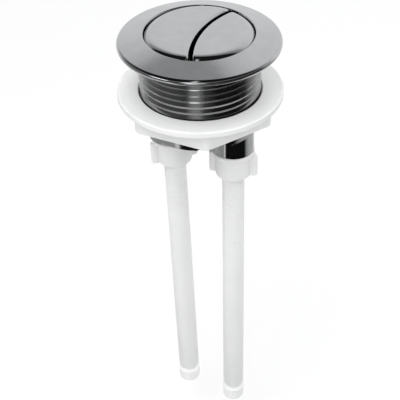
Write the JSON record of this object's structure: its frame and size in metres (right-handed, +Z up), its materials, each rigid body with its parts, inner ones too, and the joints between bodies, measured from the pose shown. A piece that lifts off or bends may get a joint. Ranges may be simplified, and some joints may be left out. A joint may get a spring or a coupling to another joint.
{
  "type": "push button cistern actuator",
  "caption": "Round chromed dual flush push button with a split cap, threaded barrel, flanged hexagonal back nut and winged lock nuts on long push rods that work a cistern's flush valve.",
  "frame": {"origin": "centre of the bezel's underside, the face that sits on the cistern lid", "axes": "+Z up out of the lid, along the barrel; +X towards the half flush side; -X towards the full flush side"},
  "size_m": [0.0754, 0.0754, 0.2211],
  "materials": {
    "chrome": "bright chrome plating on plastic",
    "white_plastic": "moulded white plastic",
    "spring_steel": "drawn wire"
  },
  "bodies": {
    "actuator_body": {"body": "chrome", "full_flush_spring": "spring_steel", "half_flush_spring": "spring_steel"},
    "back_nut": {"back_nut": "white_plastic"},
    "full_flush_slider": {"full_flush_button": "chrome", "full_flush_stem": "white_plastic", "full_flush_wing_nut": "white_plastic"},
    "half_flush_slider": {"half_flush_button": "chrome", "half_flush_stem": "white_plastic", "half_flush_wing_nut": "white_plastic"},
    "full_flush_push_rod": {"full_flush_rod": "white_plastic"},
    "half_flush_push_rod": {"half_flush_rod": "white_plastic"}
  },
  "joints": [
    {"name": "full_flush_press", "type": "slide", "parent": "actuator_body", "child": "full_flush_slider", "axis": [0, 0, -1], "range_m": [0, 0.008], "stiffness_N_per_m": 600, "springref_m": -0.005, "deforming": ["full_flush_spring"]},
    {"name": "half_flush_press", "type": "slide", "parent": "actuator_body", "child": "half_flush_slider", "axis": [0, 0, -1], "range_m": [0, 0.008], "stiffness_N_per_m": 600, "springref_m": -0.005, "deforming": ["half_flush_spring"]},
    {"name": "full_flush_rod_adjust", "type": "slide", "parent": "full_flush_slider", "child": "full_flush_push_rod", "axis": [0.022, 0.0228, -0.9995], "range_m": [-0.012, 0.012]},
    {"name": "half_flush_rod_adjust", "type": "slide", "parent": "half_flush_slider", "child": "half_flush_push_rod", "axis": [0, 0, -1], "range_m": [-0.012, 0.012]},
    {"name": "back_nut_travel", "type": "slide", "parent": "actuator_body", "child": "back_nut", "axis": [0, 0, 1], "range_m": [-0.004, 0.018]}
  ]
}
